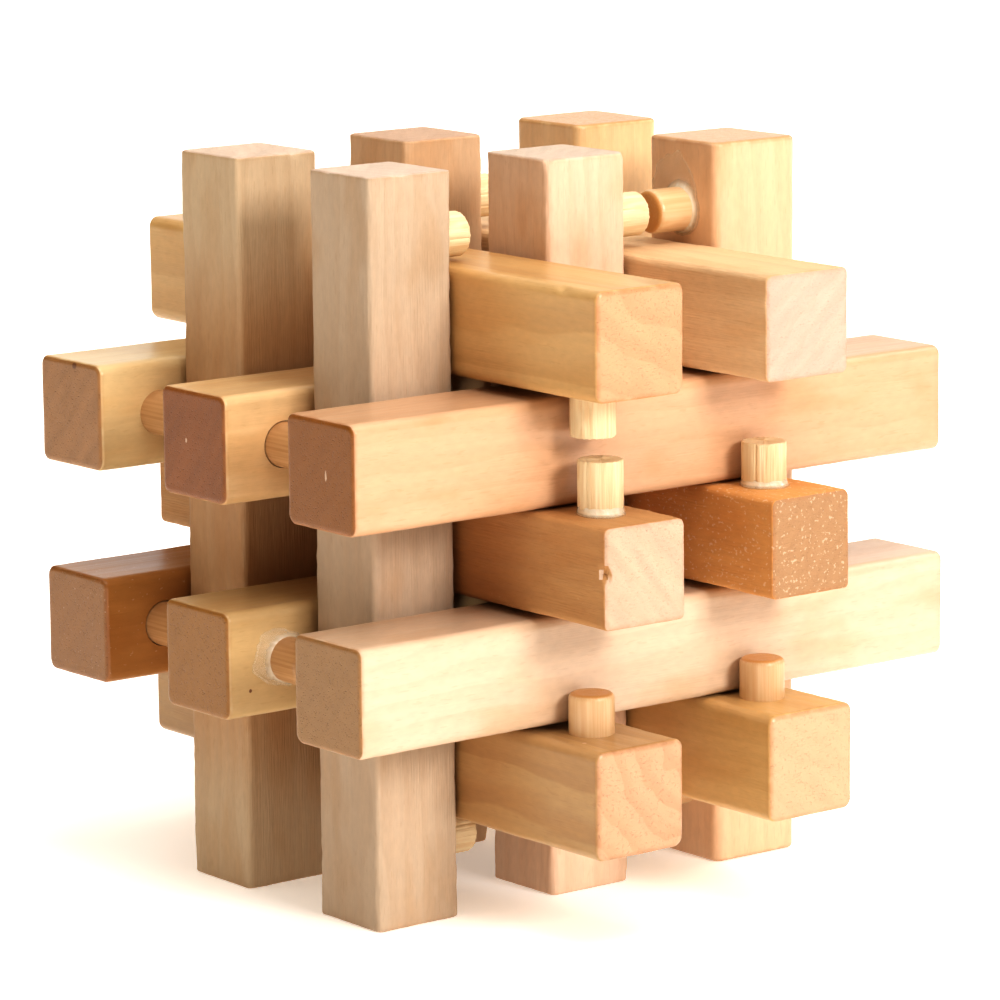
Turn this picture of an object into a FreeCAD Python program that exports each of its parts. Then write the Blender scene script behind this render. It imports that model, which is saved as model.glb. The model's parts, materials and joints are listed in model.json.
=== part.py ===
"""Eighteen-bar wooden burr puzzle: square bars in a three-way lattice, held by short dowel pegs.

Every bar lies along X, Y or Z, between its neighbours in the other two directions. Each bar but
one has a peg glued into a blind hole near each end. The pegs stand in the gaps just outside the
outermost crossing bars, so a bar can slide only as far as its pegs allow. The key bar has no pegs.

Units are millimetres. The origin is on the standing plane, under the middle of the lattice.
+X runs to the right, +Y to the back and +Z up.
"""
import FreeCAD, Part
import os

from FreeCAD import Vector

# ---- Driving dimensions -------------------------------------------------------------------------

BAR_LENGTH = 100.0
LATTICE_PITCH = 14.7        # between the middles of neighbouring rows of bars

PEG_DIAMETER = 6.0
PEG_DEPTH = 8.0             # how far a peg goes into its bar
PEG_SETBACK = 9.5           # from a bar's end to the middle of its peg
FOOT_PEG_SETBACK = 10.3     # the same at an upright's foot, where a lowest beam rests on the peg
PEG_REACH = 6.0             # how far a peg stands out of its bar
LONG_REACH = 7.2
SHORT_REACH = 5.4
PEG_TIP_CHAMFER = 0.35
HOLE_CLEARANCE = 0.15       # all round a peg, in its hole

GLUE_HEIGHT = 0.35          # of the ring of squeezed-out glue round a peg
GLUE_WIDTH = 1.1

# Square stock that the bars are cut from: its side, and the rounding of its edges.
VARNISHED = {"side": 14.5, "rounding": 0.9}
SAWN = {"side": 13.4, "rounding": 0.35}
SAWN_KEY = {"side": 14.1, "rounding": 0.35}

# ---- The bars -----------------------------------------------------------------------------------

# Each bar's lattice row is (x, y, z), counted from the lattice's middle. A bar has no row along
# its own direction, so that number is 0. Its pegs stand out of the face that "pegs" points to.
# "slid" is how far it has slid along itself, and "aside" how far it lies off its row, both within
# the room that its neighbours leave. "glued" names the ends where glue shows round the peg.
BARS = {
    "upright_front_left": {
        "along": "z", "row": (-2, -1, 0), "stock": SAWN, "pegs": "+x", "foot_setback": 9.8,
        "aside": (0.4, 0.0, 0.0),
    },
    "upright_back_left": {
        "along": "z", "row": (-2, 1, 0), "stock": SAWN, "pegs": "+x", "foot_setback": 9.8,
        "aside": (0.4, 0.0, 0.0),
    },
    "upright_front_middle": {
        "along": "z", "row": (0, -1, 0), "stock": SAWN, "pegs": "+x", "reach": LONG_REACH,
        "aside": (0.3, 0.0, 0.0),
    },
    "upright_back_middle": {
        "along": "z", "row": (0, 1, 0), "stock": SAWN, "pegs": "+x", "glued": ["top"],
        "aside": (-0.7, 0.3, 0.0),
    },
    "upright_front_right": {
        "along": "z", "row": (2, -1, 0), "stock": VARNISHED, "pegs": "-x", "glued": ["top"],
    },
    "upright_back_right": {"along": "z", "row": (2, 1, 0), "stock": VARNISHED, "pegs": "-x"},
    "rail_upper_front": {
        "along": "x", "row": (0, -2, 1), "stock": VARNISHED, "pegs": "+y",
        "aside": (0.0, 0.0, -0.6),
    },
    "rail_upper_middle": {
        "along": "x", "row": (0, 0, 1), "stock": VARNISHED, "pegs": "-y", "slid": 0.9,
        "aside": (0.0, 0.0, -0.7),
    },
    "rail_upper_back": {
        "along": "x", "row": (0, 2, 1), "stock": VARNISHED, "pegs": "-y", "slid": 1.2,
        "aside": (0.0, 0.0, -0.2),
    },
    "rail_lower_front": {
        "along": "x", "row": (0, -2, -1), "stock": VARNISHED, "pegs": "+y", "slid": 0.6,
    },
    "rail_lower_middle": {
        "along": "x", "row": (0, 0, -1), "stock": VARNISHED, "pegs": "-y", "slid": 0.8,
        "glued": ["left"],
    },
    "rail_lower_back": {
        "along": "x", "row": (0, 2, -1), "stock": VARNISHED, "pegs": "-y", "slid": 1.4,
    },
    "beam_top_left": {
        "along": "y", "row": (-1, 0, 2), "stock": VARNISHED, "pegs": "-z", "setback": 9.8,
        "slid": -0.5, "aside": (0.0, 0.0, 0.4),
    },
    "key_bar": {
        "along": "y", "row": (1, 0, 2), "stock": SAWN_KEY, "slid": 0.9, "aside": (0.0, 0.0, -0.3),
    },
    "beam_middle_left": {
        "along": "y", "row": (-1, 0, 0), "stock": SAWN, "pegs": "+z", "setback": 9.0,
        "reach": LONG_REACH, "slid": -1.2,
    },
    "beam_middle_right": {
        "along": "y", "row": (1, 0, 0), "stock": SAWN, "pegs": "+z", "slid": 0.1,
    },
    "beam_bottom_left": {
        "along": "y", "row": (-1, 0, -2), "stock": VARNISHED, "pegs": "+z", "setback": 10.0,
        "reach": SHORT_REACH, "slid": -0.1, "aside": (0.0, 0.0, -0.5),
    },
    "beam_bottom_right": {
        "along": "y", "row": (1, 0, -2), "stock": VARNISHED, "pegs": "+z", "setback": 10.0,
        "reach": SHORT_REACH,
    },
}

AXES = {"x": Vector(1, 0, 0), "y": Vector(0, 1, 0), "z": Vector(0, 0, 1)}

# The names of a bar's two ends, at the low and the high end of its own axis.
END_NAMES = {"x": ("left", "right"), "y": ("front", "back"), "z": ("bottom", "top")}


def direction(signed_axis):
    """The unit vector of a signed axis such as "-y"."""
    sign = -1.0 if signed_axis[0] == "-" else 1.0
    return AXES[signed_axis[1]] * sign


def bar_middle(bar):
    """The middle of a bar, where it lies in the standing puzzle."""
    lattice_middle = Vector(0, 0, BAR_LENGTH / 2)
    row = Vector(*bar["row"]) * LATTICE_PITCH
    slid = AXES[bar["along"]] * bar.get("slid", 0.0)
    aside = Vector(*bar.get("aside", (0.0, 0.0, 0.0)))
    return lattice_middle + row + slid + aside


def peg_roots(bar):
    """The point on the bar's face that each peg stands on, by the name of that end."""
    face = bar_middle(bar) + direction(bar["pegs"]) * bar["stock"]["side"] / 2
    setback = bar.get("setback", PEG_SETBACK)
    low_setback = bar.get("foot_setback", FOOT_PEG_SETBACK) if bar["along"] == "z" else setback
    along = AXES[bar["along"]]
    low_name, high_name = END_NAMES[bar["along"]]
    return {
        low_name: face - along * (BAR_LENGTH / 2 - low_setback),
        high_name: face + along * (BAR_LENGTH / 2 - setback),
    }


def make_bar(bar):
    """A square bar with rounded edges, and a blind hole for each of its pegs."""
    side = bar["stock"]["side"]
    along = AXES[bar["along"]]
    size = Vector(side, side, side) + along * (BAR_LENGTH - side)
    solid = Part.makeBox(size.x, size.y, size.z, bar_middle(bar) - size / 2)
    solid = solid.makeFillet(bar["stock"]["rounding"], solid.Edges)
    if "pegs" not in bar:
        return solid
    outward = direction(bar["pegs"])
    hole_radius = PEG_DIAMETER / 2 + HOLE_CLEARANCE
    for root in peg_roots(bar).values():
        # The drill starts a little outside the face, so that the hole's mouth is cut clean.
        run_in = PEG_DEPTH / 8
        mouth = root + outward * run_in
        solid = solid.cut(Part.makeCylinder(hole_radius, PEG_DEPTH + run_in, mouth, outward * -1))
    return solid


def make_peg(root, outward, reach):
    """A round peg from the bottom of its hole out to its chamfered tip."""
    hole_bottom = root - outward * PEG_DEPTH
    straight = PEG_DEPTH + reach - PEG_TIP_CHAMFER
    radius = PEG_DIAMETER / 2
    shank = Part.makeCylinder(radius, straight, hole_bottom, outward)
    tip_start = hole_bottom + outward * straight
    tip = Part.makeCone(radius, radius - PEG_TIP_CHAMFER, PEG_TIP_CHAMFER, tip_start, outward)
    return shank.fuse(tip).removeSplitter()


def make_glue_ring(root, outward):
    """A low ring of glue on the bar's face, round the root of a peg."""
    peg_radius = PEG_DIAMETER / 2
    ring = Part.makeCone(peg_radius + GLUE_WIDTH, peg_radius + GLUE_HEIGHT, GLUE_HEIGHT, root, outward)
    return ring.cut(Part.makeCylinder(peg_radius, GLUE_HEIGHT, root, outward))


def export(shape, node):
    """Write one node, which has to be one valid solid."""
    if not shape.isValid() or len(shape.Solids) != 1:
        raise ValueError(f"{node} is not one valid solid")
    shape.Solids[0].exportStep(f"parts/{node}.step")


def main():
    os.makedirs("parts", exist_ok=True)
    for name, bar in BARS.items():
        export(make_bar(bar), name)
        if "pegs" not in bar:
            continue
        outward = direction(bar["pegs"])
        for end, root in peg_roots(bar).items():
            export(make_peg(root, outward, bar.get("reach", PEG_REACH)), f"{name}_peg_{end}")
            if end in bar.get("glued", []):
                export(make_glue_ring(root, outward), f"{name}_glue_{end}")


main()
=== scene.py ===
"""Looks for the eighteen-bar wooden burr puzzle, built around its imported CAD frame.

Each bar, peg and ring of glue is one piece that stands for its CAD node. Only the glue round the
front pegs of the two middle beams has no node. A bar or peg lies along the X axis of its own
object, so that the wood materials can use object coordinates: X runs with the grain. Lengths are
in metres, and MM turns millimetres into them.
"""
import json
import math

import bmesh
import bpy
from mathutils import Matrix, Quaternion, Vector, noise


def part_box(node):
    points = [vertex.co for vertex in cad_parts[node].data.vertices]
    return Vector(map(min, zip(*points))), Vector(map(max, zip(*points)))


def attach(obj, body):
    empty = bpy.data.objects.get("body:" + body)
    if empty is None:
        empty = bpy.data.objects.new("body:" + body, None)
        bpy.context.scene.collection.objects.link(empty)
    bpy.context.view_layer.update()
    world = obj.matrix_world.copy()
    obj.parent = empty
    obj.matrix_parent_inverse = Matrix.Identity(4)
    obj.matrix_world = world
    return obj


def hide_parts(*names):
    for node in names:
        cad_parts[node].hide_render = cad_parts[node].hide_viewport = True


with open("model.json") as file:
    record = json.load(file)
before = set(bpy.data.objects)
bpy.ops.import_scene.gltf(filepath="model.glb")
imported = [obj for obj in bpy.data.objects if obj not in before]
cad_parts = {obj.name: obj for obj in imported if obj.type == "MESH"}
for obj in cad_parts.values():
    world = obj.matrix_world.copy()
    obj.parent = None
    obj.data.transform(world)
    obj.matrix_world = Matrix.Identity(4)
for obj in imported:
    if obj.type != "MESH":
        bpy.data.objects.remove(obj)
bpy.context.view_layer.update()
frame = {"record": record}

MM = 0.001

# ---- Looks of the bars --------------------------------------------------------------------------

# Colours are linear: "wood" is the pale early wood and "end" the sawn-off end's. "pith" is where
# the tree's middle lay, across the bar (mm), "ring" the growth rings' spacing (mm), "lean" how far
# the grain runs out of true (mm for each mm along it), and "saw_angle" how the saw's lines slant
# (degrees). The other numbers are strengths from 0 to 1.
# One of the strengths sets how much painted shade, a deeper tone where shade falls, tints the wood
# inside the lattice.
VARNISHED = {
    "finish": "varnished", "ring": 3.2, "ring_strength": 0.16, "streak": 0.12, "lean": 0.02,
    "edge_wear": 0.55, "saw_marks": 0.20, "saw_angle": 48, "speckle": 0.12, "painted_shade": 0.0,
}
SAWN = {
    "finish": "sawn", "ring": 2.4, "ring_strength": 0.20, "streak": 0.11, "lean": 0.015,
    "edge_wear": 0.3, "saw_marks": 0.30, "saw_angle": -48, "speckle": 0.25, "painted_shade": 0.0,
}
LOOKS = {
    "upright_front_left": {
        **SAWN, "wood": (0.58, 0.45, 0.33), "end": (0.70, 0.56, 0.46), "pith": (60, 22),
    },
    "upright_back_left": {
        **SAWN, "wood": (0.60, 0.46, 0.31), "end": (0.71, 0.56, 0.45), "pith": (-48, 30),
        "painted_shade": 0.8,
    },
    "upright_front_middle": {
        **SAWN, "wood": (0.80, 0.59, 0.44), "end": (0.68, 0.55, 0.45), "pith": (35, -52),
    },
    "upright_back_middle": {
        **SAWN, "wood": (0.73, 0.52, 0.34), "end": (0.62, 0.43, 0.31), "pith": (20, 66),
    },
    "upright_front_right": {
        **VARNISHED, "wood": (0.80, 0.55, 0.36), "end": (0.68, 0.42, 0.22), "pith": (48, -34),
    },
    "upright_back_right": {
        **VARNISHED, "wood": (0.82, 0.59, 0.34), "end": (0.65, 0.39, 0.18), "pith": (-62, 18),
    },
    "rail_upper_front": {
        **VARNISHED, "wood": (0.67, 0.43, 0.27), "end": (0.30, 0.11, 0.01), "pith": (24, 40),
    },
    "rail_upper_middle": {
        **VARNISHED, "wood": (0.70, 0.49, 0.27), "end": (0.28, 0.09, 0.01), "pith": (52, 50),
        "saw_marks": 0.50, "painted_shade": 0.5,
    },
    "rail_upper_back": {
        **VARNISHED, "wood": (0.70, 0.53, 0.30), "end": (0.38, 0.19, 0.07), "pith": (-44, 44),
        "saw_marks": 0.45, "painted_shade": 0.4,
    },
    "rail_lower_front": {
        **VARNISHED, "wood": (0.71, 0.55, 0.41), "end": (0.38, 0.21, 0.08), "pith": (30, -74),
        "lean": 0.05,
    },
    "rail_lower_middle": {
        **VARNISHED, "wood": (0.61, 0.44, 0.23), "end": (0.35, 0.16, 0.03), "pith": (-70, 8),
        "painted_shade": 0.5,
    },
    "rail_lower_back": {
        **VARNISHED, "wood": (0.45, 0.21, 0.06), "end": (0.34, 0.16, 0.05), "pith": (12, 58),
        "saw_marks": 0.25, "speckle": 0.5, "painted_shade": 0.4,
    },
    "beam_top_left": {
        **VARNISHED, "wood": (0.67, 0.44, 0.20), "end": (0.63, 0.37, 0.21), "pith": (30, 18),
        "ring": 5.5, "ring_strength": 0.45, "painted_shade": 0.2,
    },
    "key_bar": {
        **SAWN, "wood": (0.76, 0.55, 0.34), "end": (0.62, 0.46, 0.37), "pith": (46, -30),
        "ring": 3.0,
    },
    "beam_middle_left": {
        **SAWN, "wood": (0.53, 0.30, 0.13), "end": (0.62, 0.45, 0.33), "pith": (44, 34),
        "ring": 3.4, "saw_angle": 40, "saw_marks": 0.40, "painted_shade": 0.8,
    },
    "beam_middle_right": {
        **SAWN, "wood": (0.71, 0.38, 0.14), "end": (0.46, 0.27, 0.14), "pith": (-30, 62),
        "saw_marks": 0.10, "speckle": 0.9, "painted_shade": 0.5,
    },
    "beam_bottom_left": {
        **VARNISHED, "wood": (0.53, 0.34, 0.16), "end": (0.62, 0.38, 0.23), "pith": (22, 26),
        "ring": 3.6, "ring_strength": 0.6, "painted_shade": 0.4,
    },
    "beam_bottom_right": {
        **VARNISHED, "wood": (0.67, 0.45, 0.20), "end": (0.63, 0.42, 0.26), "pith": (56, 28),
        "painted_shade": 0.3,
    },
}
# Tints of a bar's own wood: late wood, patches and worn end edges; then a painted highlight
# along the long edges, and painted shade: a deeper tone inside the lattice, where shade falls.
LATE_WOOD = (0.80, 0.70, 0.60)
PATCH = (0.93, 0.86, 0.78)
EDGE = (0.70, 0.45, 0.25)
EDGE_HIGHLIGHT = (1.12, 1.12, 1.12)
PAINTED_SHADE_TINT = (0.88, 0.68, 0.50)
PAINTED_SHADE_FROM, PAINTED_SHADE_WITHIN = 42, 24       # from a bar's middle: none, and all of it (mm)
SPECK = (0.86, 0.74, 0.58)                      # the colour of a pale speck

# How far each finish is worn round along its long edges and at its ends (mm), how uneven that is
# (a share of it), and how deep the faces' slow hollows, fine fuzz and grain go (mm). Then its
# lowest and highest roughness, and the weight of its coat of varnish.
FINISHES = {
    "varnished": {
        "rounding": 1.40, "end_rounding": 0.60, "unevenness": 0.20, "hollow": 0.07, "fuzz": 0.008,
        "grain": 0.03, "roughness": (0.30, 0.42), "coat": 0.25,
    },
    "sawn": {
        "rounding": 1.00, "end_rounding": 0.40, "unevenness": 0.55, "hollow": 0.05, "fuzz": 0.025,
        "grain": 0.10, "roughness": (0.55, 0.70), "coat": 0.0,
    },
}
COAT_ROUGHNESS = 0.25

# The dowels' pale and dark wood and their sawn tips, and the rest as in a bar's finish.
DOWELS = {
    "bare_dowel": {
        "pale": (0.86, 0.72, 0.49), "dark": (0.78, 0.59, 0.36), "tip": (0.78, 0.62, 0.42),
        "grain": 0.12, "roughness": (0.55, 0.75), "coat": 0.0,
    },
    "golden_dowel": {
        "pale": (0.76, 0.55, 0.33), "dark": (0.71, 0.47, 0.26), "tip": (0.66, 0.36, 0.13),
        "grain": 0.03, "roughness": (0.30, 0.42), "coat": 0.25,
    },
    "amber_dowel": {
        "pale": (0.56, 0.33, 0.16), "dark": (0.48, 0.26, 0.11), "tip": (0.50, 0.27, 0.11),
        "grain": 0.03, "roughness": (0.30, 0.42), "coat": 0.25,
    },
}
# Which of them a peg is made of, by its material slot and by whether its bar is a rail.
DOWEL_OF = {
    ("bare_dowel", False): "bare_dowel",
    ("varnished_dowel", False): "golden_dowel",
    ("varnished_dowel", True): "amber_dowel",
}

# Nicks, where a splinter broke away. Each is a point of the bar's surface in the bar's own object,
# as shares of the half sizes, then the nick's length and depth (mm).
NICKS = {
    "beam_middle_left": [((-1, 0.1, -1), 1.6, 1.30), ((-1, 0.7, -1), 0.9, 0.25)],
    "key_bar": [((-1, 0.5, -1), 1.3, 0.30), ((-1, -0.3, -1), 1.0, 0.25)],
    "upright_front_middle": [((1, -1, -1), 1.6, 0.45), ((1, 1, -1), 1.2, 0.35)],
    "upright_front_left": [((1, -0.2, -1), 1.1, 0.30), ((1, -1, 0.4), 0.9, 0.25)],
    "upright_back_left": [((1, 0.4, -1), 1.2, 0.30)],
    "rail_upper_middle": [((-1, -0.3, -1), 0.8, 0.20)],
    "beam_top_left": [((-0.86, 1, -1), 1.6, 0.40), ((-0.66, 1, -1), 1.3, 0.30)],
}

# Small marks: a point of the surface and the mark's size along X, Y and Z (mm), and its colour.
SCRATCH = (0.66, 0.47, 0.33)
KNOT = (0.20, 0.08, 0.03)
MARKS = {
    "rail_upper_front": [((-50, -1.2, 0.0), (1, 0.20, 0.65), SCRATCH)],
    "rail_upper_middle": [((-50, 1.6, 0.4), (1, 0.20, 0.30), SCRATCH)],
    "rail_upper_back": [((-50, -1.1, 6.6), (1, 0.50, 0.45), KNOT)],
    "rail_lower_middle": [((-46.5, -7.2, -3.5), (0.25, 1, 0.30), KNOT)],
    "beam_bottom_left": [((-44.0, 7.2, -4.5), (0.35, 1, 0.30), SCRATCH)],
}

# ---- Meshes -------------------------------------------------------------------------------------


def wobble(point, size_mm, seed):
    """Smooth noise from -1 to 1 that changes over about size_mm."""
    shift = Vector((seed * 7.13, seed * 3.71, seed * 5.37))
    return noise.noise(point / (size_mm * MM) + shift)


def smooth_step(value):
    """0 below 0, 1 above 1, and smooth between them."""
    value = min(1.0, max(0.0, value))
    return value * value * (3.0 - 2.0 * value)


def grid_lines(half, rounding, step, fine_zone=0.0):
    """Grid lines from -half to half: closest in the rounded edges, then half a step apart in the
    fine zone next to them, and a whole step in the middle."""
    arc_lines = 5       # over this face's half of the rounding's quarter circle
    lines = [half - rounding * (1.0 - math.tan(math.radians(45 * i / arc_lines)))
             for i in range(arc_lines + 1)]
    inner = half - rounding
    if fine_zone:
        count = round(2 * fine_zone / step)
        lines += [inner - fine_zone * i / count for i in range(1, count + 1)]
        inner -= fine_zone
    count = round(inner / step)
    lines += [inner * i / count for i in range(count)]
    positive = sorted(lines)
    return [-value for value in reversed(positive) if value > 0] + positive


def rounded_point(point, half, side, end):
    """A point of a sharp bar's surface, moved onto the same bar with its long edges rounded by
    side and its ends by end."""
    core = Vector([point.x] + [min(max(value, side - size), size - side)
                               for value, size in zip(point.yz, half[1:])])
    out = point - core
    reach = max(abs(out.y), abs(out.z))
    corner = Vector((max(abs(point.x) - half[0] + end, 0), max(reach - side + end, 0)))
    along, across = corner.normalized() * end
    if across:
        reach = side - end + across
    moved = core + out.normalized() * reach
    if along:
        moved.x = math.copysign(half[0] - end + along, point.x)
    return moved


def rounded_box(half, rounding_at, lines):
    """A closed mesh of a bar with rounded edges, from grids on its six faces. rounding_at gives
    the roundings at a point, and lines the grid lines across each axis."""
    bm = bmesh.new()
    known = {}
    same_place = 0.001 * MM

    def vertex(point):
        """The vertex at a point, which the faces that meet there share."""
        key = tuple(round(value / same_place) for value in point)
        if key not in known:
            known[key] = bm.verts.new(rounded_point(point, half, *rounding_at(point)))
        return known[key]

    for axis in range(3):
        u_axis, v_axis = (axis + 1) % 3, (axis + 2) % 3
        for sign in (-1, 1):
            grid = []
            for u in lines[u_axis]:
                row = []
                for v in lines[v_axis]:
                    point = Vector((0, 0, 0))
                    point[axis] = sign * half[axis]
                    point[u_axis] = u
                    point[v_axis] = v
                    row.append(vertex(point))
                grid.append(row)
            for near, far in zip(grid, grid[1:]):
                for j in range(len(near) - 1):
                    corners = [near[j], far[j], far[j + 1], near[j + 1]]
                    bm.faces.new(corners[::sign])
    return bm


def turned(name, profile, sides, shape=None, hollow=False):
    """A closed mesh of (x, radius) points turned about the X axis. shape(x, radius, angle) gives
    the place and radius to use instead. A hollow one joins its last ring back to its first."""
    bm = bmesh.new()
    rings = []
    for x, radius in profile:
        if radius == 0:
            rings.append([bm.verts.new((x, 0, 0))])
            continue
        ring = []
        for side in range(sides):
            angle = 2 * math.pi * side / sides
            along, out = shape(x, radius, angle) if shape else (x, radius)
            ring.append(bm.verts.new((along, out * math.cos(angle), out * math.sin(angle))))
        rings.append(ring)
    if hollow:
        rings.append(rings[0])
    for low, high in zip(rings, rings[1:]):
        for side in range(sides):
            after = (side + 1) % sides
            corners = [low[side % len(low)], high[side % len(high)],
                       high[after % len(high)], low[after % len(low)]]
            bm.faces.new([vert for i, vert in enumerate(corners) if vert not in corners[:i]])
    bmesh.ops.recalc_face_normals(bm, faces=bm.faces)
    return made_mesh(bm, name)


def made_mesh(bm, name):
    mesh = bpy.data.meshes.new(name)
    bm.to_mesh(mesh)
    bm.free()
    return mesh


def smooth_but_for(mesh, degrees):
    """Shades a mesh smooth, but for the edges that turn by more than an angle."""
    bm = bmesh.new()
    bm.from_mesh(mesh)
    for face in bm.faces:
        face.smooth = True
    for edge in bm.edges:
        edge.smooth = edge.calc_face_angle(0.0) < math.radians(degrees)
    bm.to_mesh(mesh)
    bm.free()


def shown(mesh, name, material):
    """A new piece for a mesh."""
    piece = bpy.data.objects.new(name, mesh)
    bpy.context.scene.collection.objects.link(piece)
    mesh.materials.append(material)
    return piece


# ---- Bars ---------------------------------------------------------------------------------------


class Bar:
    """Where a bar's CAD node lies. Its piece lies along its own X axis, about its own middle."""

    def __init__(self, name):
        self.name = name
        self.low, self.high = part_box(name)
        size = self.high - self.low
        self.axis = max(range(3), key=lambda axis: size[axis])
        order = [(self.axis + step) % 3 for step in range(3)]
        self.half = [size[axis] / 2 for axis in order]
        turn = Matrix([[1.0 if row == axis else 0.0 for axis in order] for row in range(3)])
        self.place = Matrix.Translation((self.low + self.high) / 2) @ turn.to_4x4()


def bar_mesh(bar, look, seed):
    """A square bar: faces that aren't quite flat, and edges worn or torn unevenly."""
    finish = FINISHES[look["finish"]]
    side = finish["rounding"] * MM
    end = finish["end_rounding"] * MM
    smallest = 0.4
    largest = 1 + finish["unevenness"]

    def rounding_at(point):
        """The roundings of the long edges and of the ends, near a point."""
        share = 0.7 * wobble(point, 9.0, seed) + 0.5 * wobble(point, 1.5, seed + 1)
        worn = min(largest, max(smallest, 1 + finish["unevenness"] * share))
        return side * worn, end * worn

    lines = [grid_lines(bar.half[0], end * largest, step=1.2 * MM, fine_zone=10 * MM)]
    lines += [grid_lines(size, side * largest, step=0.65 * MM) for size in bar.half[1:]]
    bm = rounded_box(bar.half, rounding_at, lines)
    bm.normal_update()
    for vert in bm.verts:
        drawn_out = Vector((vert.co.x * 0.2, vert.co.y, vert.co.z))
        slow = 0.5 + 0.5 * wobble(drawn_out, 7.0, seed + 2)
        quick = 0.5 + 0.5 * wobble(vert.co, 0.9, seed + 3)
        vert.co -= vert.normal * (finish["hollow"] * slow + finish["fuzz"] * quick) * MM
    for place, length, depth in NICKS.get(bar.name, []):
        cut_nick(bm, bar.half, place, length * MM, depth * MM, seed)
    return made_mesh(bm, bar.name)


def cut_nick(bm, half, place, length, depth, seed):
    """Pushes the surface in round one point, unevenly, where a splinter broke away."""
    middle = Vector([share * size for share, size in zip(place, half)])
    # Away from every face that the point is on or near.
    inward = -Vector([round(share) for share in place]).normalized()
    for vert in bm.verts:
        near = smooth_step(1 - (vert.co - middle).length / length)
        if near:
            vert.co += inward * depth * near * (1 + 0.6 * wobble(vert.co, 0.5, seed + 4))


def drilled(piece, pegs):
    """Cuts the blind holes that the pegs sit in."""
    tools = []
    for peg in pegs:
        radius = peg.radius + peg.gap
        above = 2 * MM      # how far the drill stands out of the bar
        profile = [(-peg.depth, 0), (-peg.depth, radius), (above, radius), (above, 0)]
        tool = bpy.data.objects.new("drill", turned("drill", profile, sides=64))
        bpy.context.scene.collection.objects.link(tool)
        tool.matrix_world = peg.place
        hole = piece.modifiers.new("hole", "BOOLEAN")
        hole.operation = "DIFFERENCE"
        hole.solver = "MANIFOLD"
        hole.object = tool
        tools.append(tool)
    bpy.context.view_layer.update()
    graph = bpy.context.evaluated_depsgraph_get()
    cut = bpy.data.meshes.new_from_object(piece.evaluated_get(graph))
    piece.modifiers.clear()
    piece.data = cut
    for tool in tools:
        bpy.data.objects.remove(tool)


def mark_edges(mesh, half, reach):
    """Stores how near each vertex is to an end's edges and to the long edges, from 0 to 1."""
    end_edge = mesh.attributes.new("end_edge", "FLOAT", "POINT")
    long_edge = mesh.attributes.new("long_edge", "FLOAT", "POINT")
    for index, vert in enumerate(mesh.vertices):
        from_end, *from_sides = [max(size - abs(value), 0) for value, size in zip(vert.co, half)]
        end_gap = max(from_end, min(from_sides))
        end_edge.data[index].value = smooth_step(1 - end_gap / reach)
        long_edge.data[index].value = smooth_step(1 - max(from_sides) / reach)


# ---- Pegs ---------------------------------------------------------------------------------------

# Pegs that the eye can see are loose in their holes, and the gap all round them (mm).
LOOSE_PEGS = ("rail_upper_middle_peg_left", "rail_lower_back_peg_left")
LOOSE_GAP = 0.14

# Turning by this much each time spreads the splits of a dowel round it (radians).
GOLDEN_ANGLE = 2.399


class Peg:
    """Where a peg's CAD node lies. Its piece starts at the bar's face and points along its own X."""

    def __init__(self, name, bar):
        self.name = name
        low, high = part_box(name)
        size = high - low
        middle = (low + high) / 2
        offset = middle - (bar.low + bar.high) / 2
        across_bar = [axis for axis in range(3) if axis != bar.axis]
        axis = max(across_bar, key=lambda axis: abs(offset[axis]))
        sign = 1 if offset[axis] > 0 else -1
        face, tip, root = (bar.high, high, low) if sign > 0 else (bar.low, low, high)
        self.radius = size[bar.axis] / 2
        self.reach = abs(tip[axis] - face[axis])
        self.depth = abs(root[axis] - face[axis])
        self.gap = (LOOSE_GAP if name in LOOSE_PEGS else 0.0) * MM
        middle[axis] = face[axis]
        rows = [[0.0, 0.0, 0.0] for _ in range(3)]
        rows[axis][0] = sign
        rows[(axis + 1) % 3][1] = 1.0
        rows[(axis + 2) % 3][2] = sign
        self.turn = Matrix(rows)
        self.place = Matrix.Translation(middle) @ self.turn.to_4x4()


def bare_peg_mesh(peg, seed):
    """A length of plain dowel: sawn off square, with a torn rim, and split along its grain."""
    radius = peg.radius
    reach = peg.reach
    profile = [(-peg.depth, 0), (-peg.depth, radius)]
    profile += [(-peg.depth * i / 4, radius) for i in (3, 2, 1)]
    profile += [(reach * i / 14, radius) for i in range(14)]
    profile += [(reach - 0.25 * MM, radius), (reach - 0.05 * MM, radius - 0.10 * MM)]
    profile += [(reach, radius - 0.30 * MM)]
    profile += [(reach, radius * share) for share in (0.8, 0.6, 0.4, 0.2)] + [(reach, 0)]
    # Each split's angle round the peg, and where along the peg its middle is, from 0 to 1.
    splits = [(seed * 1.7 + GOLDEN_ANGLE * i, 0.5 + 0.5 * math.sin(seed + 5 * i)) for i in range(7)]
    split_width = math.radians(4)
    split_depth = 0.13

    def shape(x, out, angle):
        around = Vector((math.cos(angle), math.sin(angle), x / (12 * MM)))
        swell = 0.06 * noise.noise(around * 4 + Vector((seed, 0, 0)))
        for middle, share in splits:
            away = abs(math.remainder(angle - middle, 2 * math.pi)) / split_width
            along = smooth_step(1.3 - abs(x / reach - share))
            swell -= split_depth * smooth_step(1 - away) * along
        if x < reach - 0.3 * MM:
            return x, out + min(swell, 0.02) * MM * (out / radius)
        torn = 0.10 * noise.noise(around * 9 + Vector((0, seed, 0))) - 0.06
        return x + torn * MM, out + min(swell, 0.0) * MM * (out / radius)

    return turned(peg.name, profile, sides=120, shape=shape)


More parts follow.
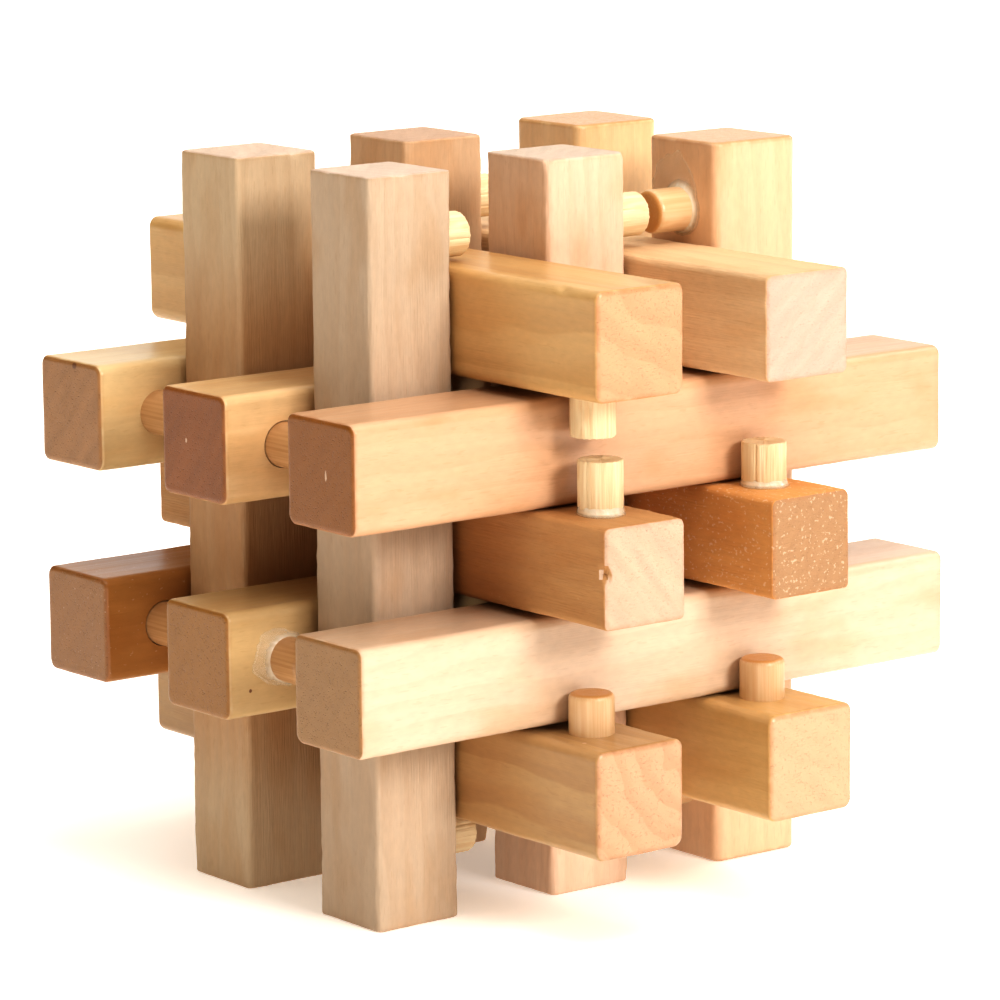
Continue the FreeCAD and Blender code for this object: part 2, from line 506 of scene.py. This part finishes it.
def varnished_peg_mesh(peg, seed):
    """A dowel rounded at its tip and varnished with its bar."""
    radius = peg.radius
    reach = peg.reach
    corner = 0.75 * MM
    profile = [(-peg.depth, 0), (-peg.depth, radius), (0, radius)]
    profile += [((reach - corner) * i / 6, radius) for i in range(1, 6)]
    for step in range(7):
        angle = math.radians(90 * step / 6)
        along = reach - corner * (1 - math.sin(angle))
        profile.append((along, radius - corner * (1 - math.cos(angle))))
    profile += [(reach, radius * share) for share in (0.6, 0.35)] + [(reach, 0)]

    def shape(x, out, angle):
        around = Vector((math.cos(angle), math.sin(angle), x / (9 * MM)))
        swell = 0.02 * (1 + noise.noise(around * 2 + Vector((seed, 0, 0)))) * MM
        return x, out + swell * (out / radius)

    return turned(peg.name, profile, sides=72, shape=shape)


# ---- Materials ----------------------------------------------------------------------------------

# A Mix node's colour sockets, by number: its number sockets come first, under the same names.
MIX_SHARE, MIX_FIRST, MIX_SECOND, MIX_RESULT = 0, 6, 7, 2


class Shader:
    """Adds one material's nodes. Each method gives back the socket that holds its result."""

    def __init__(self, name):
        self.material = bpy.data.materials.new(name)
        self.material.use_nodes = True
        self.tree = self.material.node_tree
        self.surface = self.tree.nodes["Principled BSDF"]

    def feed(self, socket, value):
        """Links another node's result to a socket, or sets the socket's own value."""
        if isinstance(value, bpy.types.NodeSocket):
            self.tree.links.new(value, socket)
        elif socket.type == "RGBA":
            socket.default_value = (*value, 1.0)
        else:
            socket.default_value = value

    def add(self, kind, inputs, output=0, **settings):
        """A node of some kind. Each key of inputs is a socket's name, or its number where sockets
        share a name."""
        made = self.tree.nodes.new("ShaderNode" + kind)
        for name, value in settings.items():
            setattr(made, name, value)
        for name, value in inputs.items():
            self.feed(made.inputs[name], value)
        return made.outputs[output]

    def finish(self, **inputs):
        """The material, with its surface's inputs fed."""
        for name, value in inputs.items():
            self.feed(self.surface.inputs[name.replace("_", " ")], value)
        return self.material

    def math(self, operation, first, second=0.0):
        return self.add("Math", {0: first, 1: second}, operation=operation)

    def product(self, *factors):
        result = factors[0]
        for factor in factors[1:]:
            result = self.math("MULTIPLY", result, factor)
        return result

    def varied(self, colour, value, strength):
        """A colour that gets brighter as value rises above 0, and darker below it."""
        factor = self.add("Math", {0: value, 1: strength, 2: 1.0}, operation="MULTIPLY_ADD")
        return self.add("VectorMath", {0: colour, "Scale": factor}, operation="SCALE")

    def mix(self, share, first, second, blend_type="MIX"):
        inputs = {MIX_SHARE: share, MIX_FIRST: first, MIX_SECOND: second}
        return self.add("Mix", inputs, output=MIX_RESULT, data_type="RGBA", blend_type=blend_type)

    def split(self, vector):
        separate = self.add("SeparateXYZ", {0: vector}).node
        return list(separate.outputs)

    def noise(self, place, size, detail=2.0):
        """Noise round 0, mostly from -0.25 to 0.25, in patches of a size (mm) along X, Y and Z."""
        spread = self.add("VectorMath", {0: place, 1: size}, operation="DIVIDE")
        value = self.add("TexNoise", {"Vector": spread, "Scale": 1.0, "Detail": detail})
        return self.math("SUBTRACT", value, 0.5)

    def between(self, value, low, high):
        """0 at low, 1 at high, and smooth between them."""
        inputs = {"Value": value, "From Min": low, "From Max": high}
        return self.add("MapRange", inputs, interpolation_type="SMOOTHSTEP")

    def blend(self, value, low, high):
        """A number from low to high as value goes from 0 to 1."""
        return self.add("MapRange", {"Value": value, "To Min": low, "To Max": high})

    def bump(self, height_mm):
        return self.add("Bump", {"Height": height_mm, "Distance": MM, "Strength": 1.0})


def millimetres(shader, shift=(0.0, 0.0, 0.0)):
    """The place in the piece's own object (mm), moved by a shift."""
    metres = shader.add("TexCoord", {}, output="Object")
    return shader.add("VectorMath", {0: metres, 1: [1 / MM] * 3, 2: shift}, operation="MULTIPLY_ADD")


def tinted(colour, tint):
    """A colour times a tint, part by part, and no part above 1."""
    return [min(1.0, part * share) for part, share in zip(colour, tint)]


def growth_rings(shader, place, shifted, look):
    """0 in a ring's early wood, and up to 1 in its late wood."""
    x, y, z = shader.split(place)
    pith_y, pith_z = look["pith"]
    leaning = shader.math("MULTIPLY", x, look["lean"])
    y = shader.math("ADD", shader.math("SUBTRACT", y, pith_y), leaning)
    z = shader.math("SUBTRACT", z, pith_z)
    distance = shader.math("SQRT", shader.math("ADD", shader.product(y, y), shader.product(z, z)))
    bend = shader.math("MULTIPLY", shader.noise(shifted, (38, 8, 8)), 7.0)
    count = shader.math("DIVIDE", shader.math("ADD", distance, bend), look["ring"])
    share = shader.math("FRACT", count)
    rise = shader.between(share, 0.25, 0.90)
    fall = shader.between(share, 1.0, 0.93)
    return shader.product(rise, fall)


def wood(name, look, seed):
    """The wood of one bar: its long faces, its sawn-off ends and what wear has done to both, with a
    painted highlight on the long edges and painted shade inside the lattice.
    """
    shader = Shader("wood_" + name)
    finish = FINISHES[look["finish"]]
    place = millimetres(shader)
    shifted = millimetres(shader, shift=[seed * 37.0] * 3)
    rings = growth_rings(shader, place, shifted, look)
    streaks = shader.noise(shifted, (30, 0.9, 0.9), detail=3)
    fibres = shader.noise(shifted, (5, 0.22, 0.22), detail=2)
    normal = shader.add("TexCoord", {}, output="Normal")
    on_end = shader.between(shader.math("ABSOLUTE", shader.split(normal)[0]), 0.55, 0.85)

    colour = long_grain(shader, place, shifted, rings, streaks, look)
    end, saw_lines, pores = end_grain(shader, shifted, rings, look)
    colour = shader.mix(on_end, colour, end)
    colour = wear_and_edge_highlight(shader, colour, shifted, look)
    colour = marked(shader, colour, place, MARKS.get(name, []))

    grain = shader.math("MULTIPLY", fibres, finish["grain"])
    saw = shader.product(saw_lines, on_end, look["saw_marks"], 0.12)
    pits = shader.product(pores, on_end, -0.05)
    height = shader.math("ADD", shader.math("ADD", grain, saw), pits)
    roughness = shader.blend(shader.between(streaks, -0.25, 0.25), *finish["roughness"])
    return shader.finish(
        Base_Color=colour, Roughness=roughness, Normal=shader.bump(height),
        Coat_Weight=finish["coat"], Coat_Roughness=COAT_ROUGHNESS,
    )


def long_grain(shader, place, shifted, rings, streaks, look):
    """The colour of the long faces, with rings, patches, streaks and flecks, and with painted
    shade inside the lattice.
    """
    patches = shader.noise(shifted, (16, 6, 6), detail=2)
    flecks = shader.between(shader.noise(shifted, (2.2, 0.30, 0.30), detail=1), 0.14, 0.22)
    late = tinted(look["wood"], LATE_WOOD)
    colour = shader.mix(shader.product(rings, look["ring_strength"]), look["wood"], late)
    colour = shader.mix(shader.between(patches, -0.02, 0.22), colour, tinted(look["wood"], PATCH))
    colour = shader.varied(colour, streaks, look["streak"])
    colour = shader.varied(colour, shader.noise(shifted, (1.6, 0.7, 0.7), detail=3), 0.16)
    colour = shader.mix(shader.product(flecks, 0.25), colour, late)
    # Painted shade: the wood inside the lattice is tinted deeper and redder, where shade falls.
    from_middle = shader.math("ABSOLUTE", shader.split(place)[0])
    inside = shader.between(from_middle, PAINTED_SHADE_FROM, PAINTED_SHADE_WITHIN)
    painted_shade = shader.product(inside, look["painted_shade"])
    return shader.mix(painted_shade, colour, PAINTED_SHADE_TINT, blend_type="MULTIPLY")


def wear_and_edge_highlight(shader, colour, shifted, look):
    """The colour with worn end edges, a painted highlight on the long edges, and pale specks."""
    worn = shader.add("Attribute", {}, output="Fac", attribute_name="end_edge")
    highlit_edges = shader.add("Attribute", {}, output="Fac", attribute_name="long_edge")
    uneven = shader.between(shader.noise(shifted, (3, 2, 2), detail=2), -0.25, 0.10)
    worn = shader.product(worn, uneven, look["edge_wear"])
    colour = shader.mix(worn, colour, tinted(look["wood"], EDGE))
    # Painted highlight: the long edges are lightened, as if they caught the light.
    highlit_edges = shader.product(highlit_edges, uneven, 0.45)
    colour = shader.mix(highlit_edges, colour, tinted(look["wood"], EDGE_HIGHLIGHT))
    rarity = 0.30 - 0.19 * look["speckle"]
    grains = shader.noise(shifted, (0.6, 0.45, 0.45), detail=1)
    specks = shader.between(grains, rarity, rarity + 0.06)
    return shader.mix(shader.product(specks, look["speckle"], 0.4), colour, SPECK)


def marked(shader, colour, place, marks):
    """The colour with a few small marks of uneven outline on it."""
    for spot, size, tone in marks:
        away = shader.add("VectorMath", {0: place, 1: spot}, operation="SUBTRACT")
        away = shader.add("VectorMath", {0: away, 1: size}, operation="DIVIDE")
        distance = shader.add("VectorMath", {0: away}, output="Value", operation="LENGTH")
        uneven = shader.math("ADD", distance, shader.noise(place, (0.5, 0.5, 0.5)))
        colour = shader.mix(shader.between(uneven, 1.2, 0.7), colour, tone)
    return colour


def end_grain(shader, shifted, rings, look):
    """The colour of the sawn-off ends, and how strong the saw's lines and open pores are there."""
    slant = math.radians(look["saw_angle"])
    slanted = shader.add("VectorRotate", {"Vector": shifted, "Angle": slant}, rotation_type="X_AXIS")
    saw_lines = shader.noise(slanted, (6, 12, 1.7), detail=4)
    pores = shader.between(shader.noise(shifted, (6, 0.28, 0.28), detail=1), 0.10, 0.22)
    late = tinted(look["end"], LATE_WOOD)
    colour = shader.mix(shader.product(rings, look["ring_strength"], 0.6), look["end"], late)
    colour = shader.varied(colour, saw_lines, look["saw_marks"])
    colour = shader.mix(shader.product(pores, 0.15), colour, late)
    return colour, saw_lines, pores


def dowel(name, look):
    """A dowel's wood: fine long grain, with darker streaks and patches, and a duller end."""
    shader = Shader(name)
    dark = look["dark"]
    grain_start = shader.add("Attribute", {}, output="Fac", attribute_name="grain_start")
    place = millimetres(shader, shift=grain_start)
    lines = shader.noise(place, (14, 0.35, 0.35), detail=3)
    patches = shader.noise(place, (5, 2, 2), detail=2)
    colour = shader.mix(shader.between(lines, -0.15, 0.20), look["pale"], dark)
    colour = shader.mix(shader.between(patches, 0.05, 0.25), colour, dark)
    normal = shader.add("TexCoord", {}, output="Normal")
    on_tip = shader.between(shader.split(normal)[0], 0.55, 0.85)
    pores = shader.between(shader.noise(place, (5, 0.25, 0.25), detail=1), 0.05, 0.22)
    tip = shader.mix(shader.product(pores, 0.6), look["tip"], dark)
    colour = shader.mix(on_tip, colour, tip)
    fibres = shader.noise(place, (6, 0.18, 0.18), detail=2)
    height = shader.math("MULTIPLY", fibres, look["grain"])
    roughness = shader.blend(shader.between(patches, -0.2, 0.2), *look["roughness"])
    return shader.finish(
        Base_Color=colour, Roughness=roughness, Normal=shader.bump(height),
        Coat_Weight=look["coat"], Coat_Roughness=COAT_ROUGHNESS,
    )


def dried_glue():
    """Glue that dried streaky: a clear film where it's thin, and whitish where it's thick."""
    shader = Shader("dried_glue")
    place = millimetres(shader)
    streaks = shader.noise(place, (1.2, 0.5, 2.5), detail=3)
    share = shader.between(streaks, -0.2, 0.2)
    above_face = shader.split(place)[0]
    thickness = shader.between(above_face, 0.04, 0.50)
    return shader.finish(
        Base_Color=shader.mix(share, (0.88, 0.78, 0.60), (0.95, 0.89, 0.76)),
        Roughness=shader.blend(share, 0.12, 0.28),
        Normal=shader.bump(shader.math("MULTIPLY", streaks, 0.15)),
        Coat_Weight=1.0, Coat_Roughness=0.06, Alpha=shader.blend(thickness, 0.24, 0.75),
    )


# ---- Glue ---------------------------------------------------------------------------------------

# Glue that was pressed out of a peg's hole: how high its bead climbs the peg, how far it spreads
# over the bar's face all round and how much farther towards one side (mm), and that side.
GLUE = {
    "upright_back_middle_peg_top": (0.65, 1.0, 1.2, (0, -1, 1)),
    "upright_front_right_peg_top": (0.65, 0.9, 4.6, (0, 0.6, 1)),
    "rail_lower_middle_peg_left": (0.35, 0.8, 2.0, (-1, 0, 0.3)),
    "beam_middle_left_peg_front": (1.10, 0.35, 0.5, (-0.4, -1, 0)),
    "beam_middle_right_peg_front": (0.90, 0.35, 0.5, (-0.4, -1, 0)),
}


def glue_mesh(peg, climb, width, lobe, direction, seed):
    """A ring of glue round a peg's foot. It climbs the peg, thins to a film, and ends in a rim.
    The profile spreads by 1 mm, and shape stretches that to the ring's width on each side."""
    sunk = 0.05 * MM        # how far it goes into the peg and into the bar's face
    film = 0.05             # the film's thickness, and how wide the bead and the rim are (mm)
    bead_width = 1.6
    rim_width = 0.3
    steps = 20
    inner = peg.radius - sunk
    below = -sunk
    profile = [(below, inner)] + [(MM, inner + MM * i / steps) for i in range(steps + 1)]
    profile.append((below, inner + MM))
    side = Vector(direction) @ peg.turn
    towards = math.atan2(side.z, side.y)

    def shape(x, radius, angle):
        around = Vector((2 * math.cos(angle), 2 * math.sin(angle), seed))
        facing_side = max(0.0, math.cos(angle - towards)) ** 2
        uneven = 0.35 * noise.noise(around) + 0.20 * noise.noise(3 * around)
        reach = (width + lobe * facing_side) * (1 + uneven)
        away = (radius - inner) / MM * reach
        if x < 0:
            return x, inner + away * MM
        bead = climb * max(0.0, 1 - away / min(reach, bead_width)) ** 2
        rim = 0.06 * smooth_step(1 - abs(away + rim_width - reach) / rim_width)
        ridge = 0.08 * max(0.0, noise.noise(around * 1.7 + Vector((away, 0, 0))))
        return (film + bead + min(rim + ridge, away)) * MM, inner + away * MM

    return turned(peg.name + "_glue", profile, sides=120, shape=shape, hollow=True)


# ---- Building -----------------------------------------------------------------------------------


def add_bar(bar, pegs, look, seed):
    material = wood(bar.name, look, seed)
    piece = shown(bar_mesh(bar, look, seed), bar.name + "_wood", material)
    piece.matrix_world = bar.place
    drilled(piece, pegs)
    mark_edges(piece.data, bar.half, reach=0.9 * MM)
    smooth_but_for(piece.data, degrees=40)
    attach(piece, bar.name)
    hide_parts(bar.name)


def add_peg(bar, peg, seed, material_slot, material):
    make = bare_peg_mesh if material_slot == "bare_dowel" else varnished_peg_mesh
    piece = shown(make(peg, seed), peg.name + "_dowel", material)
    piece.matrix_world = peg.place
    piece["grain_start"] = 11.3 * seed
    smooth_but_for(piece.data, degrees=35)
    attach(piece, bar.name)
    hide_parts(peg.name)


def add_glue(bar, peg, seed, material, nodes):
    """Adds a peg's ring of glue. It stands for its CAD node, if the bar's nodes have one."""
    mesh = glue_mesh(peg, *GLUE[peg.name], seed)
    piece = shown(mesh, peg.name + "_glue_ring", material)
    piece.matrix_world = peg.place
    smooth_but_for(piece.data, degrees=60)
    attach(piece, bar.name)
    stands_for = peg.name.replace("_peg_", "_glue_")
    if stands_for in nodes:
        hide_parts(stands_for)


def build():
    """Adds every bar with its pegs and its glue."""
    slots = {part["node"]: part["material_slot"] for part in frame["record"]["subparts"]}
    members = frame["record"]["behaviour"]["bodies"]
    dowels = {name: dowel(name, look) for name, look in DOWELS.items()}
    glue = dried_glue()
    for seed, (name, look) in enumerate(LOOKS.items(), start=1):
        bar = Bar(name)
        pegs = [Peg(node, bar) for node in members[name] if "_peg_" in node]
        add_bar(bar, pegs, look, seed)
        for number, peg in enumerate(pegs):
            own_seed = seed + 0.37 * number
            kind = DOWEL_OF[slots[peg.name], name.startswith("rail_")]
            add_peg(bar, peg, own_seed, slots[peg.name], dowels[kind])
            if peg.name in GLUE:
                add_glue(bar, peg, own_seed, glue, members[name])


build()

# ---- Floor, light and camera --------------------------------------------------------------------

PUZZLE_MIDDLE = Vector((0, 0, 0.05))


def direction_to(turn, rise):
    """A unit vector from the object: turn is to the right of its front, in degrees, rise upwards."""
    turn, rise = math.radians(turn), math.radians(rise)
    return Vector((math.sin(turn) * math.cos(rise), -math.cos(turn) * math.cos(rise), math.sin(rise)))


def soft_light(name, turn, rise, distance, width, watts, colour=(1, 1, 1)):
    """A round lamp that faces the puzzle, and that the camera doesn't see."""
    light = bpy.data.lights.new(name, "AREA")
    light.shape = "DISK"
    light.size = width
    light.energy = watts
    light.color = colour
    lamp = bpy.data.objects.new(name, light)
    lamp.visible_camera = False
    bpy.context.scene.collection.objects.link(lamp)
    outward = direction_to(turn, rise)
    lamp.location = PUZZLE_MIDDLE + outward * distance
    lamp.rotation_euler = outward.to_track_quat("Z", "Y").to_euler()


def make_floor():
    """A plain pale floor that glows with a little warm light of its own, paling its shadows."""
    bm = bmesh.new()
    bmesh.ops.create_grid(bm, x_segments=1, y_segments=1, size=6.0)
    shader = Shader("pale_floor")
    place = millimetres(shader)
    tone = shader.between(shader.noise(place, (400, 400, 400)), -0.3, 0.3)
    colour = shader.mix(tone, (0.93, 0.93, 0.93), (0.95, 0.95, 0.95))
    material = shader.finish(
        Base_Color=colour, Roughness=0.9, Emission_Color=(1, 0.95, 0.88), Emission_Strength=0.4,
    )
    floor = bpy.data.objects.new("floor", made_mesh(bm, "floor"))
    floor.data.materials.append(material)
    bpy.context.scene.collection.objects.link(floor)


def make_world(low, high):
    """A studio whose walls reflect the warm wood, under a white ceiling: brightness rises from low
    at the walls to high overhead."""
    world = bpy.data.worlds.new("white_studio")
    world.use_nodes = True
    tree = world.node_tree
    direction = tree.nodes.new("ShaderNodeTexCoord")
    split = tree.nodes.new("ShaderNodeSeparateXYZ")
    rise = tree.nodes.new("ShaderNodeMapRange")
    rise.interpolation_type = "SMOOTHSTEP"
    for name, value in {"From Min": 0.35, "From Max": 0.95, "To Min": low, "To Max": high}.items():
        rise.inputs[name].default_value = value
    colour = tree.nodes.new("ShaderNodeMix")
    colour.data_type = "RGBA"
    colour.inputs[MIX_FIRST].default_value = (1.0, 0.78, 0.42, 1.0)
    colour.inputs[MIX_SECOND].default_value = (1.0, 0.98, 0.95, 1.0)
    background = tree.nodes["Background"]
    tree.links.new(direction.outputs["Generated"], split.inputs["Vector"])
    tree.links.new(split.outputs["Z"], rise.inputs["Value"])
    tree.links.new(split.outputs["Z"], colour.inputs[MIX_SHARE])
    tree.links.new(colour.outputs[MIX_RESULT], background.inputs["Color"])
    tree.links.new(rise.outputs["Result"], background.inputs["Strength"])
    bpy.context.scene.world = world


def make_camera(aim, turn, rise, roll, distance, lens_mm):
    """The camera looks at aim from a distance, in metres. Turn is to the right of the front."""
    data = bpy.data.cameras.new("camera")
    data.lens = lens_mm
    data.sensor_width = 36
    data.clip_start = 0.05
    data.clip_end = 20
    camera = bpy.data.objects.new("camera", data)
    bpy.context.scene.collection.objects.link(camera)
    outward = direction_to(turn, rise)
    camera.location = Vector(aim) + outward * distance
    camera.rotation_mode = "QUATERNION"
    rolled = Quaternion((0, 0, 1), math.radians(roll))
    camera.rotation_quaternion = (-outward).to_track_quat("-Z", "Y") @ rolled
    bpy.context.scene.camera = camera


make_floor()
make_world(low=0.065, high=1.6)
soft_light("key_softbox", turn=5, rise=24, distance=1.2, width=0.40, watts=9.4)
soft_light("top_softbox", turn=-15, rise=64, distance=1.2, width=0.6, watts=3.6)
soft_light("right_softbox", turn=85, rise=35, distance=1.2, width=0.5, watts=2.6)
soft_light("warm_fill", turn=-70, rise=12, distance=1.2, width=0.8, watts=0.4, colour=(1.0, 0.75, 0.35))
soft_light("back_softbox", turn=142, rise=14, distance=2.5, width=1.8, watts=9.0)
make_camera(aim=(0.0012, -0.0008, 0.0507), turn=-38.0, rise=10.5, roll=-0.54, distance=0.708,
            lens_mm=185.8)
bpy.context.scene.view_settings.view_transform = "Standard"
bpy.context.scene.view_settings.gamma = 0.73
